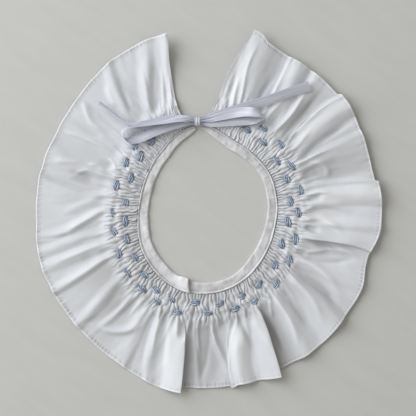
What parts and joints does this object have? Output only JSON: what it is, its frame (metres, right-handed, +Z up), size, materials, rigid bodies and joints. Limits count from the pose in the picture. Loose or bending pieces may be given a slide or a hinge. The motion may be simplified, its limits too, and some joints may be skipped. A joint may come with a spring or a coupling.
{
  "type": "smocked ruffle collar",
  "caption": "Detached ruffle collar lying flat: fine white cloth gathered into a smocked yoke with blue embroidery bars, a folded neckband, and a satin ribbon tied in a bow at the back.",
  "frame": {"origin": "centre of the collar's plan box, on the surface it lies on", "axes": "+Z up out of the surface; +Y towards the back opening and its bow, -Y towards the front; +X to the right in a view from above"},
  "size_m": [0.2423, 0.2516, 0.0144],
  "materials": {
    "ruffle_cloth": "fine white cotton sateen, softly pressed",
    "band_cloth": "matt white cotton bias binding",
    "ribbon_satin": "white satin ribbon with a cool sheen",
    "floss": "dusty blue stranded cotton floss, soft lustre"
  },
  "bodies": {
    "root": {"ruffle": "ruffle_cloth", "neckband": "band_cloth", "ribbon_knot": "ribbon_satin", "ribbon_loop_left": "ribbon_satin", "ribbon_loop_right": "ribbon_satin", "ribbon_tail_left": "ribbon_satin", "ribbon_tail_right": "ribbon_satin", "stitch_inner_01": "floss", "stitch_inner_02": "floss", "stitch_inner_03": "floss", "stitch_inner_04": "floss", "stitch_inner_05": "floss", "stitch_inner_06": "floss", "stitch_inner_07": "floss", "stitch_inner_08": "floss", "stitch_inner_09": "floss", "stitch_inner_10": "floss", "stitch_inner_11": "floss", "stitch_inner_12": "floss", "stitch_inner_13": "floss", "stitch_inner_14": "floss", "stitch_inner_15": "floss", "stitch_inner_16": "floss", "stitch_inner_17": "floss", "stitch_inner_18": "floss", "stitch_inner_19": "floss", "stitch_inner_20": "floss", "stitch_inner_21": "floss", "stitch_inner_22": "floss", "stitch_outer_01": "floss", "stitch_outer_02": "floss", "stitch_outer_03": "floss", "stitch_outer_04": "floss", "stitch_outer_05": "floss", "stitch_outer_06": "floss", "stitch_outer_07": "floss", "stitch_outer_08": "floss", "stitch_outer_09": "floss", "stitch_outer_10": "floss", "stitch_outer_11": "floss", "stitch_outer_12": "floss", "stitch_outer_13": "floss", "stitch_outer_14": "floss", "stitch_outer_15": "floss", "stitch_outer_16": "floss", "stitch_outer_17": "floss", "stitch_outer_18": "floss", "stitch_outer_19": "floss", "stitch_outer_20": "floss", "stitch_outer_21": "floss", "stitch_outer_22": "floss"}
  },
  "joints": []
}
